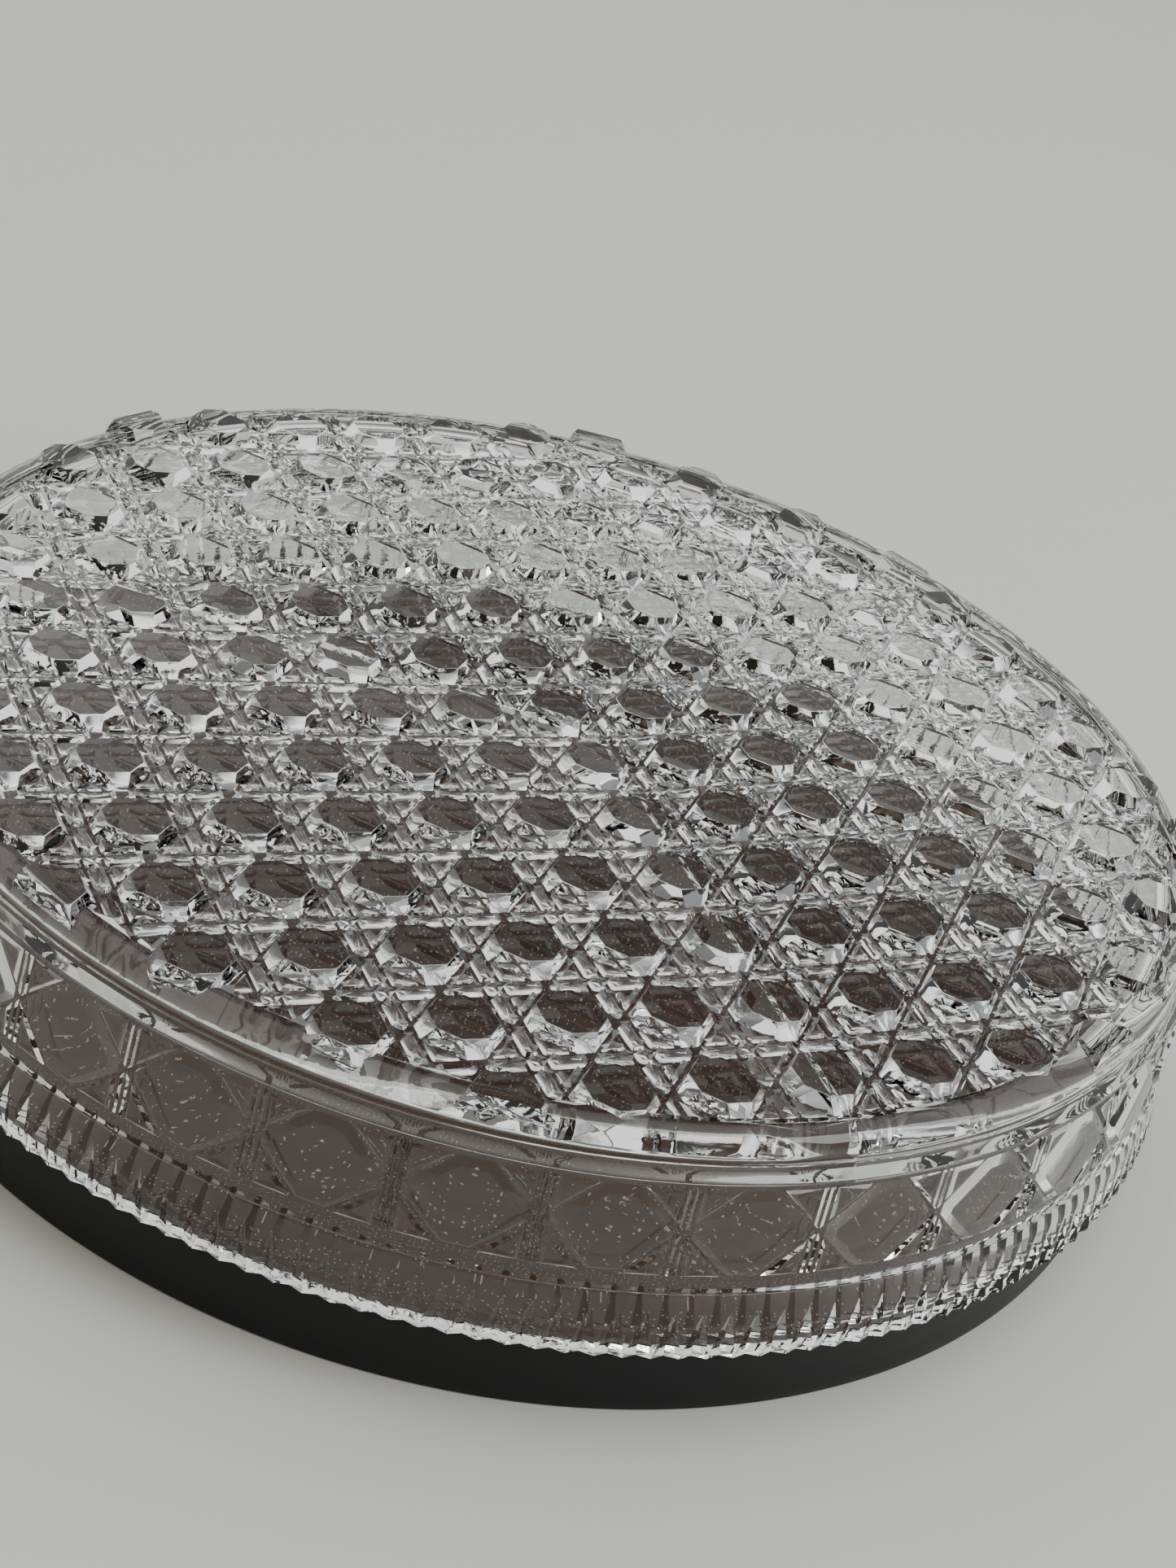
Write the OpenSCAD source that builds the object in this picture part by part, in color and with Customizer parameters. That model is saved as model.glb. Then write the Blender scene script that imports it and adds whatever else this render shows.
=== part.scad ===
// Round pressed-glass cheese cover with a cane pattern, on a round board.
// Origin at the middle of the underside of the board, +Z up, millimetres.

/* [Cover] */
// Radius over the crests of the serrated rim
cover_r = 150; // [140:1:160]
// Height of the cover, from the rim to the top of the shoulder
cover_h = 46; // [42:1:52]
// Thickness of the glass in the side wall at the rim
rim_t = 6.5; // [5:0.5:8]
// Thickness of the glass in the side wall above the skirt
wall_t = 5; // [4:0.5:6]
// Thickness of the top plate under the grooves of the pattern
plate_t = 5; // [4:0.5:6]
// How far the middle of the top lies below its edge
top_dip = 4.8; // [3:0.2:6]
// How far off the axis the three sectors of the top meet
seam_offset = 8; // [0:1:10]

/* [Cane pattern] */
// Distance from one button to the next
pitch = 21; // [20:0.5:22]
// Width of a button across its flats
button_w = 13; // [10:0.5:15]
// Height of a button above the grooves
button_h = 3; // [2:0.25:3.5]
// Turn of the rows of buttons away from the X axis
pattern_turn = 32.5; // [0:0.5:45]

/* [Skirt] */
// Number of teeth round the rim
teeth = 180; // [120:12:240]
// Depth of the V flutes at the rim
tooth_depth = 1.7; // [1:0.1:2]
// Height of the fluted band
flute_h = 11.5; // [8:0.5:12]

/* [Board] */
// Height of the whole board
board_h = 18.5; // [15:0.5:25]
// Radius of the board at its upper edge
board_r = 147.5; // [140:0.5:148]
// How much smaller the board is at its lower edge
undercut = 3; // [0:0.5:5]
// Thickness of the black band round the edge
band_t = 1.2; // [0.8:0.1:2]
// Thickness of the veneer on each face
veneer_t = 0.8; // [0.6:0.1:1.2]

/* [Hidden] */
$fn = 180;
cut = 1;                      // how far a cutting solid runs past the face it cuts
top_r = 0.915 * cover_r;      // radius of the patterned disc
button_r = 0.95 * cover_r;    // the outermost buttons are cut off at this radius
rows = 7;                     // rows of buttons tried on each side of the middle
last_button = 6.75 * pitch;   // no button has its middle further out than this
slope = atan(top_dip / top_r);
groove_z = cover_h - 1 - top_dip;   // level of the grooves where the sectors meet
collar_r = cover_r - 1.6;     // smooth collar above the flutes
collar_z = flute_h + 3.2;
bead_r = cover_r - 2.6;       // thin raised ring above the collar
side_r = cover_r - 3;         // foot of the side band with the octagon windows
ridge_r = 0.971 * cover_r;    // the two thin ridges under the shoulder
upper_ridge_r = 0.958 * cover_r;
ridge_z = cover_h - 8;
upper_ridge_z = cover_h - 5.4;
shoulder_r = 4.6;             // radius of the rounded shoulder
lip_h = 1.4;                  // plain lip under the flutes
inner_rim_r = cover_r - rim_t;
inner_top_r = upper_ridge_r - wall_t;
core_r = board_r - band_t;    // outside of the core at its upper edge

// Everything above three planes that rise outwards from one low point. They meet in
// shallow valleys, the seams, which run to 60, 180 and 300 degrees.
module above_sectors(level) {
    translate([seam_offset, 0, level])
        intersection_for (i = [0:2])
            rotate([0, 0, 120 * i])
                rotate([0, -slope, 0])
                    translate([-2 * cover_r, -2 * cover_r, 0])
                        cube([4 * cover_r, 4 * cover_r, cover_h]);
}

// The round body of the cover as a solid of revolution, with the shoulder an arc.
module cover_outside() {
    rotate_extrude()
        polygon(concat(
            [[0, 0], [collar_r, 0], [collar_r, flute_h], [bead_r, collar_z],
             [bead_r + 0.5, collar_z + 0.5], [bead_r + 0.5, collar_z + 1.1],
             [side_r, collar_z + 1.6], [ridge_r - 0.9, ridge_z - 0.6],
             [ridge_r, ridge_z], [ridge_r - 0.9, ridge_z + 0.6],
             [upper_ridge_r - 0.5, upper_ridge_z - 0.6],
             [upper_ridge_r + 0.2, upper_ridge_z]],
            [for (a = [0:15:90]) [upper_ridge_r - shoulder_r + shoulder_r * cos(a) - 0.4,
                                  cover_h - shoulder_r + shoulder_r * sin(a)]],
            [[0, cover_h]]));
}

// The fluted skirt: a flared ring cut to a star of V teeth.
module skirt() {
    intersection() {
        linear_extrude(flute_h)
            polygon([for (i = [0:2 * teeth - 1])
                let (a = 180 * i / teeth, r = cover_r - (i % 2) * tooth_depth)
                    [r * cos(a), r * sin(a)]]);
        rotate_extrude()
            polygon([[collar_r - 2, 0], [cover_r, 0], [cover_r, lip_h],
                     [collar_r, flute_h], [collar_r - 2, flute_h]]);
    }
}

// The hollow under the cover, with a ceiling that follows the three sectors.
module cover_inside() {
    difference() {
        translate([0, 0, -cut])
            cylinder(h = cover_h, r1 = inner_rim_r, r2 = inner_top_r);
        above_sectors(groove_z - plate_t);
    }
}

// Octagonal buttons on a square grid, with their tops level with the sectors.
module buttons() {
    difference() {
        intersection() {
            rotate(pattern_turn)
                for (i = [-rows:rows], j = [-rows:rows])
                    if (norm([i, j]) * pitch < last_button)
                        translate([i * pitch, j * pitch, groove_z - cut])
                            rotate(180 / 8)
                                cylinder(h = cover_h / 2, d = button_w / cos(180 / 8), $fn = 8);
            cylinder(h = 2 * cover_h, r = button_r);
        }
        above_sectors(groove_z + button_h);
    }
}

module glass_cover() {
    color([0.82, 0.84, 0.82, 0.5])
        translate([0, 0, board_h])
            difference() {
                union() {
                    difference() {
                        cover_outside();
                        intersection() {
                            above_sectors(groove_z);
                            cylinder(h = 2 * cover_h, r = top_r);
                        }
                    }
                    skirt();
                    buttons();
                }
                cover_inside();
            }
}

module top_veneer() {
    color([0.23, 0.12, 0.08])
        translate([0, 0, board_h - veneer_t])
            cylinder(h = veneer_t, r = core_r);
}

module board_core() {
    color([0.45, 0.33, 0.22])
        translate([0, 0, veneer_t])
            cylinder(h = board_h - 2 * veneer_t, r1 = core_r - undercut, r2 = core_r);
}

module base_veneer() {
    color([0.2, 0.11, 0.08])
        cylinder(h = veneer_t, r = core_r - undercut);
}

module edge_band() {
    color([0.07, 0.08, 0.08])
        rotate_extrude()
            polygon([[core_r - undercut, 0], [core_r - undercut + band_t, 0],
                     [board_r, board_h], [core_r, board_h],
                     [core_r, board_h - veneer_t], [core_r - undercut, veneer_t]]);
}

glass_cover();
top_veneer();
board_core();
base_veneer();
edge_band();
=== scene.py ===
"""Finishes and fine shapes for a round pressed-glass cheese cover with a cane pattern on its board."""

import math

import bmesh
import bpy
from mathutils import Matrix, Vector


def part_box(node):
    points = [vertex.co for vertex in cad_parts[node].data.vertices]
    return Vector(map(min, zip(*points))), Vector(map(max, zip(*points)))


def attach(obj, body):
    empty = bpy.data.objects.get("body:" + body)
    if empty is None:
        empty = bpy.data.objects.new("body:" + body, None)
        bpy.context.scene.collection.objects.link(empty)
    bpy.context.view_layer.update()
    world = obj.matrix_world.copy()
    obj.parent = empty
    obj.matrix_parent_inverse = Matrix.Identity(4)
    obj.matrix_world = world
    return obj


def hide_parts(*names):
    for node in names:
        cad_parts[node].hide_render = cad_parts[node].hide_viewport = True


MM = 0.001

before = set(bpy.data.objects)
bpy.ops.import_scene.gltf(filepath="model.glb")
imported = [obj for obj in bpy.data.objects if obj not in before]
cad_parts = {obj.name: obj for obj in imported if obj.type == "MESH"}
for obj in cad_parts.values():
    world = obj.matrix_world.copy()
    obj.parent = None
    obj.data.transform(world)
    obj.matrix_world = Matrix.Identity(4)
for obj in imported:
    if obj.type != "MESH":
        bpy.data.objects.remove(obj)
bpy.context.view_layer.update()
cover_low, cover_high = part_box("glass_cover")
band_low, band_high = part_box("edge_band")
veneer_low, veneer_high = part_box("top_veneer")
base_low, base_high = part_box("base_veneer")

# Sizes of the cover, in millimetres, with its rim at height 0.
RIM_R = 150.0
COVER_H = 46.0
TOP_R = 0.915 * RIM_R
BUTTON_CUT_R = 0.95 * RIM_R
COLUMNS = 180

# The cane pattern: a square grid of octagonal buttons between crossing bands of small pillows.
PITCH = 21.0
BAND = 3.9
TURN = math.radians(32.5)
REACH = 7
WHOLE_AREA = 0.98 * (PITCH * PITCH / 2 - 4 * (BAND / 2) ** 2) - 1
NODE_AREA = 1.02 * (BAND / 2) ** 2
INSET_ROOM = 1.15
BEVEL_ROOM = 1.2
GROOVE = 0.36
CORNER_CUT = 0.42
PILLOW_STEPS = [(0.24, 0.36), (0.3, 0.28), (0.36, 0.26), (0.4, 0.26)]
PEAK = 0.18
BUTTON_H = 2.95
BUTTON_FLAT = 12.0
BUTTON_SLOPE_W = 1.1
BUTTON_CHAMFER_W = 0.15
BUTTON_CHAMFER_H = 0.1
WHOLE_BUTTONS = 37
EDGE_BUTTONS = (40, 45)
BUTTON_ROOT = 1.2

# The three sectors of the top, which rise outwards from where they meet.
DIP = 4.8
SECTOR_RISE = DIP / TOP_R
MEETING = Vector((8.0, 0.0, 0.0))
SEAM_OVERRUN = 8.0
GROOVE_Z = COVER_H - 1.0 - DIP

# The shoulder and the side band of octagonal windows, bars and crosses.
SHOULDER_R = 4.6
SHOULDER_CENTRE_R = 0.958 * RIM_R - 5.0
RIDGE_PROFILE = [(143.5, 40.9), (143.9, 40.65), (143.9, 40.35), (143.5, 40.1), (143.7, 39.2),
                 (144.6, 38.6), (145.3, 38.4), (145.7, 38.15), (145.7, 37.85), (145.3, 37.55)]
SIDE_R = 146.2
SIDE_FOOT_R = RIM_R - 3.0
SIDE_HEAD_R = 145.2
SIDE_FOOT_Z = 16.6
SIDE_HEAD_Z = 37.2
HEAD_MARGIN = 0.7
FOOT_MARGIN = 2.0
BAND_FOOT_Z = SIDE_FOOT_Z + HEAD_MARGIN - FOOT_MARGIN
WINDOWS = 36
BAR = 1.35
WINDOW_STEPS = [(0.3, 0), (1.5, 0.95), (0.2, 0.05)]
CORNER_STEPS = [(0.3, 0), (0.5, 0.4), (0.5, 0.15)]
BAR_STEPS = [(0.2, 0), (0.35, 0.35), (0.3, 0.1)]

# The bead, the fluted skirt and its plain lip.
BEAD_PROFILE = [(147.3, 14.95), (147.75, 14.7), (147.95, 14.35), (147.85, 14.0), (147.5, 13.7),
                (147.7, 13.2), (148.1, 12.2)]
TEETH = 180
TOOTH_DEPTH = 1.5
FLUTE_H = 10.8
LIP_H = 1.4
LIP_DEPTH = 0.9
LIP_EDGE_Z = 0.5
LIP_CORNER = 0.5
CREST_INSET = 0.02
COLLAR_R = RIM_R - 1.6
GAP = 0.05

# The hollow underneath.
CEILING_R = 134.0
CEILING_CORNER_R = 4.2
WALL_INNER_R = RIM_R - 6.5
WALL_STEPS = [(-2.3, 20.0), (-0.4, 0.8), (0.3, GAP)]
PLATE_T = 6.2
STRIP_W = 12.5
STRIP_RISE = 4.3
STEP_W = 0.35

# The black band: its corners are eased by these amounts.
BAND_COLUMNS = 256
NIP = 0.1
ROUND_OFF = 0.35

# Where the shading of the glass breaks.
CRISP = math.radians(27)
CRISP_ON_ROUNDS = math.radians(40)
PILLOW_STEEPEST = 0.45
PILLOW_FLATTEST = 0.985

# Light of the surroundings, and a dark card behind that the polished flats mirror.
SKY_STRENGTH = 1.4
WARM_FRONT = (0.36, 0.30, 0.22, 1)
COOL_BACK = (0.95, 0.97, 0.95, 1)
CARD_HEIGHT = math.radians(43)
CARD_INNER = math.radians(13)
CARD_OUTER = math.radians(23)
CARD_LIGHT = 0.2

# The camera, in degrees and metres, and the floor.
LENS = 54.9
EYE = (0.0205, -0.4551, 0.3146)
LOOK_TURN = 1.25
LOOK_DOWN = 30.66
LOOK_ROLL = 15.51
FLOOR_HALF_W = 6000
FLOOR_Z = -0.0002


def everything(bm):
    """All the geometry of a mesh in the making, as the cutting operators want it."""
    return bm.verts[:] + bm.edges[:] + bm.faces[:]


def around(faces):
    """These faces with their own edges and corners."""
    edges = {e for f in faces for e in f.edges}
    verts = {v for f in faces for v in f.verts}
    return list(verts) + list(edges) + list(faces)


def cut(bm, geom, point, normal, keep_inside=False):
    """Cuts along a plane; with keep_inside, what lies beyond the plane goes."""
    bmesh.ops.bisect_plane(
        bm, geom=geom, dist=0.0005, plane_co=point, plane_no=normal, clear_outer=keep_inside
    )


def trim_round(bm, radius, columns):
    """Trims a flat mesh to a disc with evenly spaced corners."""
    step = 2 * math.pi / columns
    for k in range(columns):
        way = Vector((math.cos((k + 0.5) * step), math.sin((k + 0.5) * step), 0))
        cut(bm, everything(bm), way * radius * math.cos(step / 2), way, keep_inside=True)


def sector_height(x, y):
    """How far the three planes of the top have risen at a place, from where they meet."""
    rise = max((x - MEETING.x) * math.cos(a) + (y - MEETING.y) * math.sin(a)
               for a in (0, 2 * math.pi / 3, 4 * math.pi / 3))
    return rise * SECTOR_RISE


def bearing_way(degrees):
    """A flat direction, counted from the X axis towards the Y axis."""
    a = math.radians(degrees)
    return Vector((math.cos(a), math.sin(a), 0))


def corners_of(made):
    """The corners among what an operator made."""
    return [g for g in made if isinstance(g, bmesh.types.BMVert)]


def copy_to(bm, geom, shift):
    """A copy of some geometry, moved by this much."""
    made = bmesh.ops.duplicate(bm, geom=geom)["geom"]
    bmesh.ops.translate(bm, verts=corners_of(made), vec=shift)


def open_edges(bm):
    """The edges that only one face uses."""
    return [e for e in bm.edges if len(e.link_faces) == 1]


def pull_out(bm, ring, place):
    """Extrudes a loop of edges, puts each new corner where place says, and gives the new loop."""
    made = bmesh.ops.extrude_edge_only(bm, edges=ring)["geom"]
    for v in corners_of(made):
        v.co = place(v.co)
    return [g for g in made if isinstance(g, bmesh.types.BMEdge) and g.is_boundary]


def ring_at(radius, height):
    """A rule that puts a corner at this radius and height, on its own side of the axis."""
    def place(co):
        across = Vector((co.x, co.y)).normalized() * radius
        return Vector((across.x, across.y, height))
    return place


# The cane pattern of the top

def cane_repeat(bm):
    """One repeat of the pattern, flat: two crossing bands, four corners and an octagon."""
    shift = Matrix.Translation((-BAND / 2, -BAND / 2, 0))
    bmesh.ops.create_grid(bm, x_segments=1, y_segments=1, size=PITCH / 2, matrix=shift)
    inner = (PITCH - BAND) / 2
    cut(bm, everything(bm), (-inner, 0, 0), (1, 0, 0))
    cut(bm, everything(bm), (0, -inner, 0), (0, 1, 0))
    for sx in (1, -1):
        for sy in (1, -1):
            cut(bm, everything(bm), (sx * PITCH / 2, 0, 0), (sx, sy, 0))


def lattice_place(co):
    """The nearest octagon's two whole numbers, and how far from its middle the place is."""
    u = co.x * math.cos(TURN) + co.y * math.sin(TURN)
    v = -co.x * math.sin(TURN) + co.y * math.cos(TURN)
    i = round(u / PITCH)
    j = round(v / PITCH)
    return i, j, u - i * PITCH, v - j * PITCH


def cane_sheet(bm):
    """The flat pattern over the whole top, trimmed round."""
    cane_repeat(bm)
    first = everything(bm)
    for i in range(-REACH, REACH + 1):
        for j in range(-REACH, REACH + 1):
            if (i, j) != (0, 0) and math.hypot(i, j) * PITCH <= TOP_R + PITCH:
                copy_to(bm, first, (i * PITCH, j * PITCH, 0))
    bmesh.ops.remove_doubles(bm, verts=bm.verts[:], dist=0.01)
    bmesh.ops.rotate(bm, verts=bm.verts[:], cent=(0, 0, 0), matrix=Matrix.Rotation(TURN, 3, "Z"))
    trim_round(bm, TOP_R, COLUMNS)


def half_width(face):
    """About how far a face's middle is from its sides."""
    length = face.calc_perimeter()
    return 2 * face.calc_area() / length if length else 0


def raise_steps(bm, faces, steps):
    """Insets each face on its own, once for each width and rise, as long as it is wide enough."""
    for width, rise in steps:
        faces = [f for f in faces if half_width(f) > width * INSET_ROOM]
        bmesh.ops.inset_individual(bm, faces=faces, thickness=width, depth=rise, use_even_offset=True)
    return faces


def soften_corners(bm, faces, size):
    """Cuts the corners off flat faces that already have a groove round them, and gives the faces."""
    for f in faces:
        f.material_index = 1
    wide = [f for f in faces if half_width(f) > size * BEVEL_ROOM]
    corners = list({v for f in wide for v in f.verts})
    bmesh.ops.bevel(
        bm, geom=corners, offset=size, segments=1, profile=0.5, affect="VERTICES", material=-1
    )
    marked = [f for f in bm.faces if f.material_index == 1]
    for f in marked:
        f.material_index = 0
    return [f for f in marked if half_width(f) > GROOVE]


def whole_octagon(face):
    """True for the foot of a button that the round trim leaves whole."""
    i, j, u, v = lattice_place(face.calc_center_median())
    whole = face.calc_area() > WHOLE_AREA
    return i * i + j * j <= WHOLE_BUTTONS and math.hypot(u, v) < 0.5 and whole


def in_octagon(face):
    """True for a face inside an octagon of the pattern, whole or trimmed."""
    u, v = lattice_place(face.calc_center_median())[2:]
    inner = (PITCH - BAND) / 2
    return abs(u) + abs(v) < PITCH / 2 - 0.01 and max(abs(u), abs(v)) < inner - 0.01


def at_node(face):
    """True for the small flat triangles beside the place where two diagonals cross on a band."""
    return len(face.verts) == 3 and face.calc_area() < NODE_AREA


def set_regular(face, across):
    """Moves the eight corners of a button's face onto a regular octagon this wide."""
    centre = face.calc_center_median()
    radius = across / 2 / math.cos(math.pi / 8)
    for corner in face.verts:
        away = corner.co - centre
        bearing = math.atan2(away.y, away.x) - TURN
        step = math.floor(bearing / (math.pi / 4)) + 0.5
        turn = step * math.pi / 4 + TURN
        corner.co.x = centre.x + radius * math.cos(turn)
        corner.co.y = centre.y + radius * math.sin(turn)


def shape_buttons(bm, feet):
    """Raises each octagon into a button with steep sides, a narrow chamfer and a flat top."""
    raise_steps(bm, feet, [(GROOVE, 0)])
    bmesh.ops.inset_individual(
        bm, faces=feet, thickness=BUTTON_SLOPE_W, depth=BUTTON_H - BUTTON_CHAMFER_H, use_even_offset=True
    )
    for f in feet:
        set_regular(f, BUTTON_FLAT + 2 * BUTTON_CHAMFER_W)
    raise_steps(bm, feet, [(BUTTON_CHAMFER_W, BUTTON_CHAMFER_H)])


def shape_top(bm):
    """Raises the buttons and the rounded pillows of the cane pattern, then tilts the three sectors."""
    cane_sheet(bm)
    feet = [f for f in bm.faces if whole_octagon(f)]
    pillows = [f for f in bm.faces if not in_octagon(f) and not at_node(f)]
    shape_buttons(bm, feet)
    grooved = raise_steps(bm, pillows, [(GROOVE, 0)])
    grooved = soften_corners(bm, grooved, CORNER_CUT)
    raise_steps(bm, grooved, PILLOW_STEPS)
    bmesh.ops.poke(bm, faces=[f for f in grooved if f.is_valid], offset=PEAK)
    for k in range(3):
        way = bearing_way(60 + 120 * k)
        near = [f for f in bm.faces if (f.calc_center_median() - MEETING).dot(way) > -SEAM_OVERRUN]
        cut(bm, around(near), MEETING, Vector((-way.y, way.x, 0)))
    for v in bm.verts:
        v.co.z += GROOVE_Z + sector_height(v.co.x, v.co.y)


# The side of the cover

def even_ring(bm, ring, columns):
    """Leaves only the evenly spaced corners on an outer loop."""
    step = 2 * math.pi / columns
    loose = []
    for v in {v for e in ring for v in e.verts}:
        place = math.atan2(v.co.y, v.co.x) / step
        if abs(place - round(place)) > 0.002:
            loose.append(v)
    bmesh.ops.dissolve_verts(bm, verts=loose)
    return open_edges(bm)


def shoulder(bm):
    """The wall round the sunk top, the flat edge and the rounded shoulder with its two ridges."""
    ring = pull_out(bm, open_edges(bm), ring_at(TOP_R + 0.25, COVER_H - 0.35))
    ring = pull_out(bm, ring, ring_at(TOP_R + 0.6, COVER_H))
    ring = even_ring(bm, ring, COLUMNS)
    for bearing in range(90, -1, -10):
        a = math.radians(bearing)
        radius = SHOULDER_CENTRE_R + SHOULDER_R * math.cos(a)
        ring = pull_out(bm, ring, ring_at(radius, COVER_H - SHOULDER_R + SHOULDER_R * math.sin(a)))
    for radius, height in RIDGE_PROFILE:
        ring = pull_out(bm, ring, ring_at(radius, height))
    return pull_out(bm, ring, ring_at(SIDE_HEAD_R, SIDE_HEAD_Z))


def margin(bm, level, reach, pieces):
    """Adds a plain strip beyond one long edge of the flat side, with an even outer line."""
    line = [e for e in open_edges(bm) if all(abs(v.co.y - level) < 0.001 for v in e.verts)]
    verts = corners_of(bmesh.ops.extrude_edge_only(bm, edges=line)["geom"])
    bmesh.ops.translate(bm, verts=verts, vec=(0, reach, 0))
    ends = (min(v.co.x for v in verts), max(v.co.x for v in verts))
    bmesh.ops.dissolve_verts(bm, verts=[v for v in verts if ends[0] + 0.01 < v.co.x < ends[1] - 0.01])
    outer = [e for e in open_edges(bm) if all(abs(v.co.y - level - reach) < 0.001 for v in e.verts)]
    bmesh.ops.subdivide_edges(bm, edges=outer, cuts=pieces - 1)


def side_strip():
    """The octagonal windows, bars and crosses round the side, made flat and then rolled up."""
    bm = bmesh.new()
    width = 2 * math.pi * SIDE_R / WINDOWS
    half = width / 2
    high = (SIDE_HEAD_Z - SIDE_FOOT_Z) / 2
    edge = high - HEAD_MARGIN
    bmesh.ops.create_grid(bm, x_segments=1, y_segments=1, size=0.5)
    bmesh.ops.scale(bm, verts=bm.verts[:], vec=(width, 2 * edge, 1))
    for s in (1, -1):
        cut(bm, everything(bm), (s * (half - BAR), 0, 0), (s, 0, 0))
        for t in (1, -1):
            cut(bm, everything(bm), (s * half, 0, 0), (s, t, 0))
    margin(bm, edge, HEAD_MARGIN, COLUMNS // WINDOWS)
    margin(bm, -edge, -FOOT_MARGIN, 2 * TEETH // WINDOWS)
    first = everything(bm)
    for k in range(1, WINDOWS):
        copy_to(bm, first, (k * width, 0, 0))
    bmesh.ops.remove_doubles(bm, verts=bm.verts[:], dist=0.01)
    windows, corners, bars = [], [], []
    for f in bm.faces:
        c = f.calc_center_median()
        u = (c.x + half) % width - half
        if abs(c.y) > edge:
            continue
        if abs(u) > half - BAR:
            if f.calc_area() > BAR * BAR:
                bars.append(f)
        elif abs(u) < 1 and abs(c.y) < 1:
            windows.append(f)
        else:
            corners.append(f)
    raise_steps(bm, windows, WINDOW_STEPS)
    raise_steps(bm, corners, CORNER_STEPS)
    raise_steps(bm, bars, BAR_STEPS)
    for v in bm.verts:
        turn = (v.co.x / width + 0.5) * 2 * math.pi / WINDOWS
        share = (v.co.y + high) / (2 * high)
        radius = SIDE_FOOT_R + (SIDE_HEAD_R - SIDE_FOOT_R) * share + v.co.z
        height = SIDE_FOOT_Z + (SIDE_HEAD_Z - SIDE_FOOT_Z) * share
        v.co = Vector((radius * math.cos(turn), radius * math.sin(turn), height))
    bmesh.ops.remove_doubles(bm, verts=bm.verts[:], dist=0.01)
    return bm


def skirt(bm, ring):
    """The thin bead, the smooth collar and the V flutes with their plain lip, from a loop downwards."""
    for radius, height in BEAD_PROFILE + [(COLLAR_R, FLUTE_H)]:
        ring = pull_out(bm, ring, ring_at(radius, height))
    step = math.pi / TEETH

    def crest(co):
        return round(math.atan2(co.y, co.x) / step) % 2 == 0

    def tooth(height, inset, depth):
        def place(co):
            radius = RIM_R - inset - (0 if crest(co) else depth)
            return ring_at(radius, height)(co)
        return place

    before = set(bm.faces)
    ring = pull_out(bm, ring, tooth(LIP_H, CREST_INSET, TOOTH_DEPTH))
    flutes = [f for f in bm.faces if f not in before]
    for f in flutes:
        upper = [v for v in f.verts if v.co.z > LIP_H + 1 and not crest(v.co)]
        lower = [v for v in f.verts if v.co.z < LIP_H + 1 and crest(v.co)]
        bmesh.ops.connect_verts(bm, verts=upper + lower)
    ring = pull_out(bm, ring, tooth(LIP_EDGE_Z, CREST_INSET, LIP_DEPTH))
    return pull_out(bm, ring, tooth(GAP, LIP_CORNER, LIP_DEPTH))


def ceiling():
    """The underside of the top, three planes of which one rises to a step along its seams, and the wall."""
    bm = bmesh.new()
    bmesh.ops.create_circle(bm, segments=COLUMNS, radius=CEILING_R, cap_ends=True)
    for bearing in (90, 150, 210):
        cut(bm, everything(bm), MEETING, bearing_way(bearing))
    inward = [bearing_way(270), bearing_way(210)]
    for side in inward:
        for reach in (-STEP_W, STRIP_W):
            cut(bm, everything(bm), MEETING + side * reach, side)
    for v in bm.verts:
        inside = min((v.co - MEETING).dot(side) for side in inward)
        rise = STRIP_RISE * max(0, 1 - inside / STRIP_W) if inside > -0.001 else 0
        v.co.z = GROOVE_Z - PLATE_T + sector_height(v.co.x, v.co.y) + rise
    ring = open_edges(bm)
    turned = 0.0
    for share in (0.25, 0.5, 0.75, 1.0):
        drop = CEILING_CORNER_R * (math.cos(turned * math.pi / 2) - math.cos(share * math.pi / 2))
        radius = CEILING_R + CEILING_CORNER_R * math.sin(share * math.pi / 2)
        ring = pull_out(bm, ring, lambda co: ring_at(radius, co.z - drop)(co))
        turned = share
    for step, height in WALL_STEPS:
        ring = pull_out(bm, ring, ring_at(WALL_INNER_R + step, height))
    return bm


def join_in(bm, other):
    """Adds another mesh in the making to this one."""
    mesh = bpy.data.meshes.new("part_of_cover")
    other.to_mesh(mesh)
    other.free()
    bm.from_mesh(mesh)
    bpy.data.meshes.remove(mesh)


def open_at(bm, height, slack):
    """The open edges that lie at this height."""
    return [e for e in open_edges(bm) if all(abs(v.co.z - height) < slack for v in e.verts)]


def glass_shell():
    """The whole cover as one closed shell of glass."""
    bm = bmesh.new()
    shape_top(bm)
    shoulder(bm)
    join_in(bm, side_strip())
    head = open_at(bm, SIDE_HEAD_Z, 0.02)
    bmesh.ops.remove_doubles(bm, verts=list({v for e in head for v in e.verts}), dist=0.02)
    skirt(bm, open_at(bm, BAND_FOOT_Z, 0.02))
    join_in(bm, ceiling())
    rim = open_at(bm, GAP, 0.01)
    bmesh.ops.triangle_fill(bm, edges=rim, use_beauty=True, use_dissolve=False, normal=(0, 0, -1))
    bmesh.ops.triangulate(bm, faces=bm.faces[:], quad_method="BEAUTY", ngon_method="BEAUTY")
    bmesh.ops.recalc_face_normals(bm, faces=bm.faces[:])
    return bm


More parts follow.
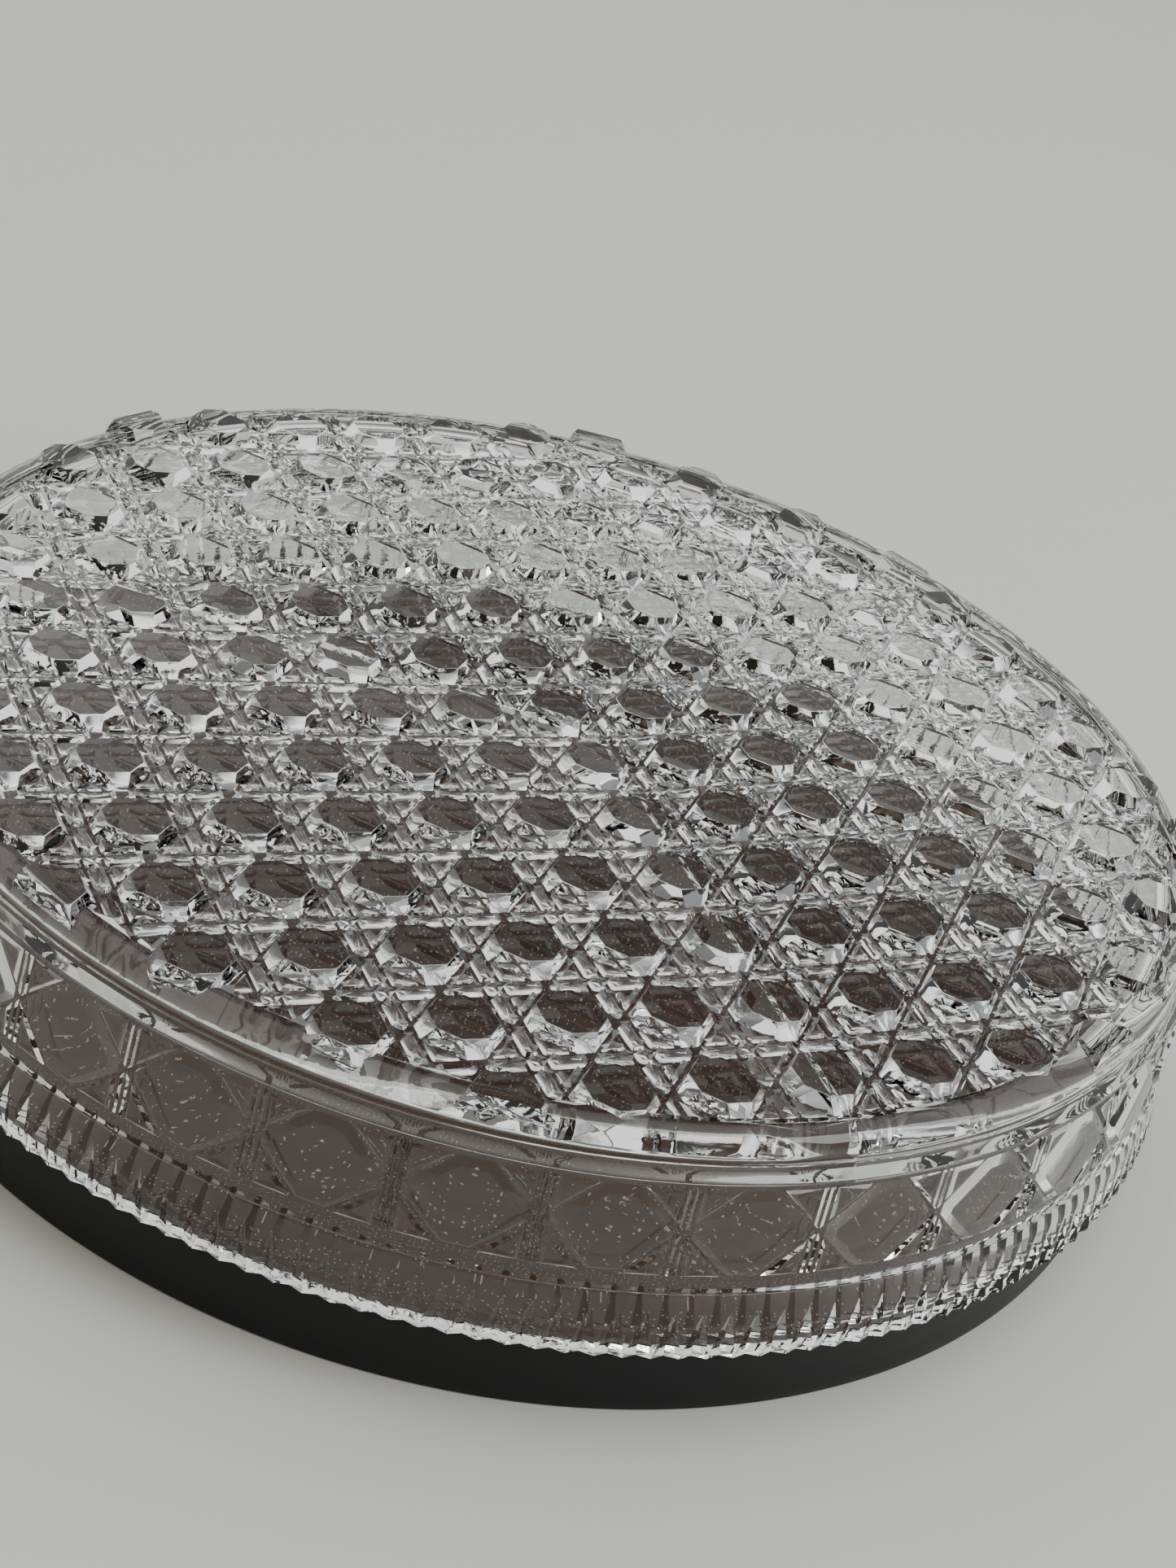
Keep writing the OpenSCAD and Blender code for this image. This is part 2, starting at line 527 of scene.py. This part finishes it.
def edge_buttons():
    """The buttons that stand half on the shoulder, cut off upright on their outer side."""
    bm = bmesh.new()
    cane_repeat(bm)
    rest = [f for f in bm.faces if len(f.verts) != 8]
    bmesh.ops.delete(bm, geom=rest, context="FACES")
    first = everything(bm)
    for i in range(-REACH, REACH + 1):
        for j in range(-REACH, REACH + 1):
            if EDGE_BUTTONS[0] <= i * i + j * j <= EDGE_BUTTONS[1]:
                copy_to(bm, first, (i * PITCH, j * PITCH, 0))
    bmesh.ops.delete(bm, geom=corners_of(first), context="VERTS")
    bmesh.ops.rotate(bm, verts=bm.verts[:], cent=(0, 0, 0), matrix=Matrix.Rotation(TURN, 3, "Z"))
    feet = bm.faces[:]
    for f in feet:
        f.normal_update()
    shape_buttons(bm, feet)
    root = corners_of(bmesh.ops.extrude_edge_only(bm, edges=open_edges(bm))["geom"])
    bmesh.ops.translate(bm, verts=root, vec=(0, 0, -BUTTON_ROOT))
    bmesh.ops.holes_fill(bm, edges=open_edges(bm), sides=0)
    for v in bm.verts:
        v.co.z += GROOVE_Z + sector_height(v.co.x, v.co.y)
    middles = {}
    for v in bm.verts:
        middles.setdefault(lattice_place(v.co)[:2], []).append(v)
    for (i, j), verts in middles.items():
        middle = Matrix.Rotation(TURN, 2) @ Vector((i * PITCH, j * PITCH))
        way = middle.normalized().to_3d()
        faces = list({f for v in verts for f in v.link_faces})
        cut(bm, around(faces), way * BUTTON_CUT_R, way, keep_inside=True)
    bmesh.ops.holes_fill(bm, edges=open_edges(bm), sides=0)
    bmesh.ops.triangulate(bm, faces=bm.faces[:])
    bmesh.ops.recalc_face_normals(bm, faces=bm.faces[:])
    return bm


def to_object(bm, name, height):
    """Turns millimetres into metres, lifts the piece to its height and makes it an object."""
    bmesh.ops.scale(bm, verts=bm.verts[:], vec=(MM, MM, MM))
    bmesh.ops.translate(bm, verts=bm.verts[:], vec=(0, 0, height))
    mesh = bpy.data.meshes.new(name)
    bm.to_mesh(mesh)
    bm.free()
    piece = bpy.data.objects.new(name, mesh)
    bpy.context.scene.collection.objects.link(piece)
    return piece


def shade(piece, degrees):
    """Smooth shading that stops at edges sharper than this."""
    piece.data.shade_smooth()
    piece.data.set_sharp_from_angle(angle=math.radians(degrees))


def shade_glass(piece):
    """Smooth shading with crisp edges round flats, grooves and buttons, and soft ones inside a pillow."""
    bm = bmesh.new()
    bm.from_mesh(piece.data)
    pattern_z = cover_low.z + (GROOVE_Z - 1) * MM
    for f in bm.faces:
        f.smooth = True
    for e in bm.edges:
        middle = (e.verts[0].co + e.verts[1].co) / 2
        height = (middle.z - cover_low.z) / MM
        rounded = FLUTE_H + 0.3 < height < BAND_FOOT_Z - 0.1
        rounded = rounded or (height > SIDE_HEAD_Z + 0.1 and middle.xy.length > BUTTON_CUT_R * MM)
        crisp = e.calc_face_angle(0) > (CRISP_ON_ROUNDS if rounded else CRISP)
        on_pattern = e.verts[0].co.z > pattern_z and e.verts[0].co.xy.length < BUTTON_CUT_R * MM
        sloping = all(PILLOW_STEEPEST < f.normal.z < PILLOW_FLATTEST for f in e.link_faces)
        e.smooth = not crisp or (on_pattern and sloping)
    bm.to_mesh(piece.data)
    bm.free()


def glass_cover():
    """The glass cover with its edge buttons joined on, as one mesh."""
    piece = to_object(glass_shell(), "cane_glass_cover", cover_low.z)
    studs = to_object(edge_buttons(), "edge_studs", cover_low.z)
    join = piece.modifiers.new("edge_studs", "BOOLEAN")
    join.operation = "UNION"
    join.solver = "MANIFOLD"
    join.object = studs
    seen = bpy.context.evaluated_depsgraph_get()
    mesh = bpy.data.meshes.new_from_object(piece.evaluated_get(seen))
    piece.modifiers.clear()
    piece.data = mesh
    bpy.data.objects.remove(studs)
    shade_glass(piece)
    return piece


# The board

def spun_piece(name, profile, columns, height):
    """A closed solid turned round the axis from a profile in millimetres."""
    bm = bmesh.new()
    verts = [bm.verts.new((r, 0, z)) for r, z in profile]
    edges = [bm.edges.new(pair) for pair in zip(verts, verts[1:])]
    bmesh.ops.spin(
        bm, geom=verts + edges, cent=(0, 0, 0), axis=(0, 0, 1), angle=2 * math.pi,
        steps=columns, use_merge=True
    )
    bmesh.ops.remove_doubles(bm, verts=bm.verts[:], dist=0.001)
    bmesh.ops.recalc_face_normals(bm, faces=bm.faces[:])
    return to_object(bm, name, height)


def black_edge_band():
    """The black band round the board, with softened corners."""
    top = band_high.x / MM
    height = (band_high.z - band_low.z) / MM
    core = veneer_high.x / MM
    foot = base_high.x / MM
    thick = top - core
    slope = (top - (foot + thick)) / height
    profile = [(core, height - NIP), (core + NIP, height), (top - ROUND_OFF, height),
               (top - NIP, height - NIP), (top, height - ROUND_OFF)]
    for k in range(1, 6):
        drop = height * k / 6
        profile.append((top - slope * drop, height - drop))
    profile += [(foot + thick, 0.4), (foot + thick - 0.12, 0.12), (foot + thick - 0.4, 0),
                (foot + NIP, 0), (foot, NIP), (core, height - NIP)]
    return spun_piece("black_edge_band", profile, BAND_COLUMNS, band_low.z)


# Finishes

def nodes_of(name):
    """A new material with its tree and its Principled shader."""
    material = bpy.data.materials.new(name)
    material.use_nodes = True
    tree = material.node_tree
    tree.nodes.clear()
    shader = tree.nodes.new("ShaderNodeBsdfPrincipled")
    output = tree.nodes.new("ShaderNodeOutputMaterial")
    tree.links.new(shader.outputs["BSDF"], output.inputs["Surface"])
    return material, tree, shader


def add(tree, kind, **settings):
    """A node with these settings on itself or on its inputs."""
    node = tree.nodes.new(kind)
    for name, value in settings.items():
        if hasattr(node, name):
            setattr(node, name, value)
        else:
            node.inputs[name.replace("_", " ")].default_value = value
    return node


def on_object(tree, scale):
    """Object coordinates, stretched by a Mapping node."""
    where = add(tree, "ShaderNodeTexCoord")
    mapping = add(tree, "ShaderNodeMapping")
    mapping.inputs["Scale"].default_value = scale
    tree.links.new(where.outputs["Object"], mapping.inputs["Vector"])
    return mapping.outputs["Vector"]


def spread(tree, value, span, onto):
    """Takes a value from one span onto another."""
    node = tree.nodes.new("ShaderNodeMapRange")
    node.inputs["From Min"].default_value = span[0]
    node.inputs["From Max"].default_value = span[1]
    node.inputs["To Min"].default_value = onto[0]
    node.inputs["To Max"].default_value = onto[1]
    tree.links.new(value, node.inputs["Value"])
    return node.outputs["Result"]


def shades(tree, value, low, high):
    """A colour for a value, between two stops that are each a position and a colour."""
    node = tree.nodes.new("ShaderNodeValToRGB")
    for stop, (position, colour) in zip(node.color_ramp.elements, (low, high)):
        stop.position = position
        stop.color = colour
    tree.links.new(value, node.inputs["Fac"])
    return node.outputs["Color"]


def relief(tree, shader, value, strength, distance):
    """Fine relief on a finish, from a value."""
    bump = add(tree, "ShaderNodeBump", Strength=strength, Distance=distance)
    tree.links.new(value, bump.inputs["Height"])
    tree.links.new(bump.outputs["Normal"], shader.inputs["Normal"])


def pressed_glass():
    """Clear pressed glass, a little grey, with the faint ripple of a fire-polished surface."""
    material, tree, shader = nodes_of("pressed_glass")
    shader.inputs["Base Color"].default_value = (0.955, 0.965, 0.955, 1)
    shader.inputs["Transmission Weight"].default_value = 1.0
    shader.inputs["IOR"].default_value = 1.51
    place = on_object(tree, (1, 1, 1))
    ripple = add(tree, "ShaderNodeTexNoise", Scale=260.0, Detail=3.0, Roughness=0.5)
    tree.links.new(place, ripple.inputs["Vector"])
    relief(tree, shader, ripple.outputs["Fac"], strength=0.35, distance=0.00006)
    dust = add(tree, "ShaderNodeTexNoise", Scale=90.0, Detail=4.0)
    tree.links.new(place, dust.inputs["Vector"])
    haze = spread(tree, dust.outputs["Fac"], span=(0.55, 0.8), onto=(0.0, 0.03))
    tree.links.new(haze, shader.inputs["Roughness"])
    return material


def dark_wood():
    """Dark reddish-brown veneer with fine straight pores and a sprinkle of pale specks, oiled."""
    material, tree, shader = nodes_of("dark_wood_veneer")
    link = tree.links.new
    along = on_object(tree, (14, 220, 220))
    grain = add(tree, "ShaderNodeTexNoise", Scale=1.0, Detail=6.0, Roughness=0.6)
    link(along, grain.inputs["Vector"])
    dark = (0.3, (0.020, 0.0052, 0.0022, 1))
    light = (0.75, (0.075, 0.022, 0.0095, 1))
    tone = shades(tree, grain.outputs["Fac"], dark, light)
    spots = add(tree, "ShaderNodeTexVoronoi", voronoi_dimensions="2D", Scale=900.0)
    link(on_object(tree, (1, 1, 1)), spots.inputs["Vector"])
    speck = spread(tree, spots.outputs["Distance"], span=(0.08, 0.17), onto=(1.0, 0.0))
    chosen = add(tree, "ShaderNodeSeparateColor")
    link(spots.outputs["Color"], chosen.inputs["Color"])
    some = add(tree, "ShaderNodeMath", operation="GREATER_THAN")
    some.inputs[1].default_value = 0.5
    link(chosen.outputs["Red"], some.inputs[0])
    both = add(tree, "ShaderNodeMath", operation="MULTIPLY")
    link(speck, both.inputs[0])
    link(some.outputs["Value"], both.inputs[1])
    mix = add(tree, "ShaderNodeMix", data_type="RGBA")
    link(both.outputs["Value"], mix.inputs["Factor"])
    link(tone, mix.inputs["A"])
    mix.inputs["B"].default_value = (0.42, 0.36, 0.29, 1)
    link(mix.outputs["Result"], shader.inputs["Base Color"])
    shader.inputs["Specular IOR Level"].default_value = 0.1
    wear = spread(tree, grain.outputs["Fac"], span=(0, 1), onto=(0.35, 0.55))
    link(wear, shader.inputs["Roughness"])
    relief(tree, shader, grain.outputs["Fac"], strength=0.4, distance=0.0001)
    return material


def black_edge():
    """Black edging with a green cast, satin, lightly brushed and dusty."""
    material, tree, shader = nodes_of("black_edging")
    link = tree.links.new
    place = on_object(tree, (60, 60, 500))
    streak = add(tree, "ShaderNodeTexNoise", Scale=1.0, Detail=5.0, Roughness=0.65)
    link(place, streak.inputs["Vector"])
    dark = (0.3, (0.0018, 0.0028, 0.0028, 1))
    light = (0.8, (0.006, 0.009, 0.009, 1))
    link(shades(tree, streak.outputs["Fac"], dark, light), shader.inputs["Base Color"])
    shader.inputs["Specular IOR Level"].default_value = 0.22
    wear = spread(tree, streak.outputs["Fac"], span=(0, 1), onto=(0.38, 0.6))
    link(wear, shader.inputs["Roughness"])
    relief(tree, shader, streak.outputs["Fac"], strength=0.3, distance=0.00008)
    return material


def core_wood():
    """Plain brown timber of the glued core."""
    material, tree, shader = nodes_of("core_timber")
    link = tree.links.new
    grain = add(tree, "ShaderNodeTexNoise", Scale=1.0, Detail=5.0, Roughness=0.6)
    link(on_object(tree, (18, 240, 240)), grain.inputs["Vector"])
    dark = (0.0, (0.13, 0.07, 0.035, 1))
    light = (1.0, (0.33, 0.21, 0.12, 1))
    link(shades(tree, grain.outputs["Fac"], dark, light), shader.inputs["Base Color"])
    wear = spread(tree, grain.outputs["Fac"], span=(0, 1), onto=(0.55, 0.75))
    link(wear, shader.inputs["Roughness"])
    return material


def pale_floor():
    """A plain pale matt floor."""
    material, _, shader = nodes_of("pale_floor")
    shader.inputs["Base Color"].default_value = (0.66, 0.68, 0.67, 1)
    shader.inputs["Roughness"].default_value = 0.8
    return material


def paint(piece, material):
    """Gives a piece this one material."""
    piece.data.materials.clear()
    piece.data.materials.append(material)


# The scene round it

def floor():
    """A wide plain floor just under the board."""
    bm = bmesh.new()
    bmesh.ops.create_grid(bm, x_segments=1, y_segments=1, size=FLOOR_HALF_W)
    piece = to_object(bm, "floor", FLOOR_Z)
    paint(piece, pale_floor())


def soft_lamp(name, size, power, place, target, colour):
    """A square lamp that points at a place."""
    lamp = bpy.data.lights.new(name, "AREA")
    lamp.shape = "SQUARE"
    lamp.size = size
    lamp.energy = power
    lamp.color = colour
    holder = bpy.data.objects.new(name, lamp)
    holder.location = place
    holder.rotation_euler = (Vector(target) - Vector(place)).to_track_quat("-Z", "Y").to_euler()
    bpy.context.scene.collection.objects.link(holder)


def studio():
    """Pale surroundings, warmer and dimmer in front, a dark card behind and a soft window on the right."""
    world = bpy.data.worlds.new("soft_studio")
    world.use_nodes = True
    tree = world.node_tree
    sky = tree.nodes["Background"]
    way = add(tree, "ShaderNodeTexCoord").outputs["Generated"]
    part = add(tree, "ShaderNodeSeparateXYZ")
    tree.links.new(way, part.inputs["Vector"])
    side = spread(tree, part.outputs["Y"], span=(-0.6, 0.2), onto=(0, 1))
    tint = add(tree, "ShaderNodeMix", data_type="RGBA")
    tint.inputs["A"].default_value = WARM_FRONT
    tint.inputs["B"].default_value = COOL_BACK
    tree.links.new(side, tint.inputs["Factor"])
    near = add(tree, "ShaderNodeVectorMath", operation="DOT_PRODUCT")
    tree.links.new(way, near.inputs[0])
    near.inputs[1].default_value = (0, math.cos(CARD_HEIGHT), math.sin(CARD_HEIGHT))
    edges = (math.cos(CARD_OUTER), math.cos(CARD_INNER))
    card = spread(tree, near.outputs["Value"], span=edges, onto=(SKY_STRENGTH, CARD_LIGHT))
    tree.links.new(tint.outputs["Result"], sky.inputs["Color"])
    tree.links.new(card, sky.inputs["Strength"])
    bpy.context.scene.world = world
    soft_lamp(
        "window_light", size=0.8, power=12.0, place=(1.3, -0.4, 1.0), target=(0, 0, 0.03),
        colour=(0.93, 0.97, 1.0)
    )


def camera():
    """The view from the front, from 31 degrees above and tilted sideways."""
    lens = bpy.data.cameras.new("camera")
    lens.sensor_width = 36.0
    lens.lens = LENS
    holder = bpy.data.objects.new("camera", lens)
    bpy.context.scene.collection.objects.link(holder)
    turn = Matrix.Rotation(math.radians(LOOK_TURN), 4, "Z")
    pitch = Matrix.Rotation(math.radians(90 - LOOK_DOWN), 4, "X")
    roll = Matrix.Rotation(math.radians(LOOK_ROLL), 4, "Z")
    holder.matrix_world = Matrix.Translation(EYE) @ turn @ pitch @ roll
    bpy.context.scene.camera = holder


cover = glass_cover()
paint(cover, pressed_glass())
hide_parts("glass_cover")
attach(cover, "cover")

band = black_edge_band()
shade(band, 40)
paint(band, black_edge())
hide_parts("edge_band")
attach(band, "board")

veneer = dark_wood()
paint(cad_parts["top_veneer"], veneer)
paint(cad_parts["base_veneer"], veneer)
paint(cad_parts["board_core"], core_wood())

floor()
studio()
camera()
